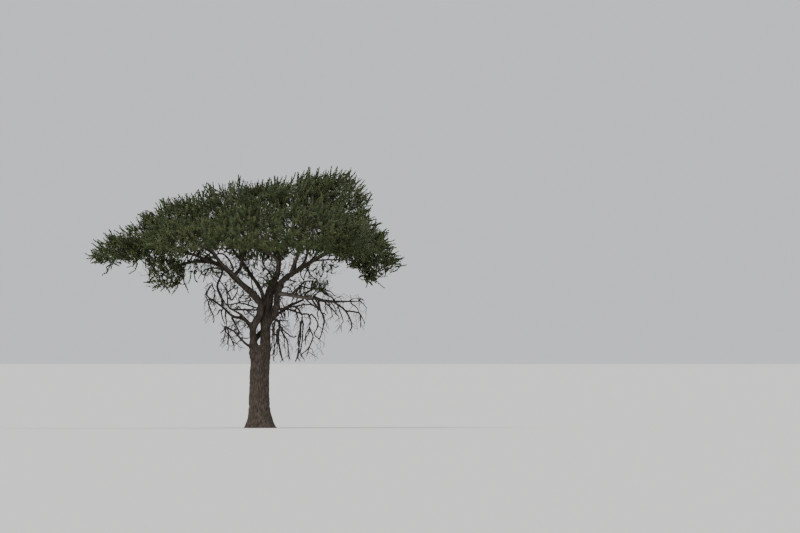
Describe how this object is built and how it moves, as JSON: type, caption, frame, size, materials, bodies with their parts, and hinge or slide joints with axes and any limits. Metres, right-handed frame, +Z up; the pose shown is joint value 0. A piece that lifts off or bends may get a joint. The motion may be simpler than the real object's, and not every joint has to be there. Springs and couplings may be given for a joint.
{
  "type": "umbrella acacia tree",
  "caption": "Umbrella acacia with a forked trunk, arching boughs, a wide flat-topped crown of feathery foliage and bare dead limbs hanging below it.",
  "frame": {"origin": "centre of the trunk's flat cut at ground level", "axes": "+Z up along the trunk, +X along the crown's long way to the viewer's right, -Y towards the viewer"},
  "size_m": [9.2681, 7.2761, 7.7926],
  "materials": {
    "bark": "matt",
    "dead_wood": "matt",
    "foliage": "matt",
    "bare_twigs": "matt"
  },
  "bodies": {
    "root": {"bough_centre": "bark", "bough_far_left": "bark", "bough_left": "bark", "bough_left_back": "bark", "bough_left_front": "bark", "bough_left_shoulder": "bark", "bough_left_top": "bark", "bough_mid_back": "bark", "bough_mid_front": "bark", "bough_mid_left": "bark", "bough_mid_low": "bark", "bough_outer_back": "bark", "bough_outer_front": "bark", "bough_right": "bark", "bough_right_back": "bark", "bough_right_front": "bark", "bough_right_inner": "bark", "bough_right_mid": "bark", "bough_right_tip": "bark", "bough_right_top": "bark", "bough_under": "bark", "cross_limb": "bark", "dead_limb": "dead_wood", "leaves_far_left": "foliage", "leaves_left_back": "foliage", "leaves_left_droop": "foliage", "leaves_left_front": "foliage", "leaves_left_inner": "foliage", "leaves_left_shoulder": "foliage", "leaves_left_top": "foliage", "leaves_mid_back": "foliage", "leaves_mid_front": "foliage", "leaves_mid_left_top": "foliage", "leaves_mid_low": "foliage", "leaves_mid_right_low": "foliage", "leaves_mid_right_top": "foliage", "leaves_mid_top": "foliage", "leaves_outer_back": "foliage", "leaves_outer_front": "foliage", "leaves_right_back": "foliage", "leaves_right_front": "foliage", "leaves_right_outer": "foliage", "leaves_right_tip": "foliage", "leaves_right_top": "foliage", "leaves_under_cluster": "foliage", "left_fork": "bark", "loop_high": "bark", "loop_low": "bark", "low_limb": "bark", "stem_left": "bark", "stem_main": "bark", "stem_right": "bark", "trunk": "bark", "twigs_dead_twigs": "bare_twigs", "twigs_far_strands": "bare_twigs", "twigs_hanging_left": "bare_twigs", "twigs_hanging_right": "bare_twigs", "twigs_hanging_trunk": "bare_twigs", "twigs_inner_strands": "bare_twigs"}
  },
  "joints": []
}
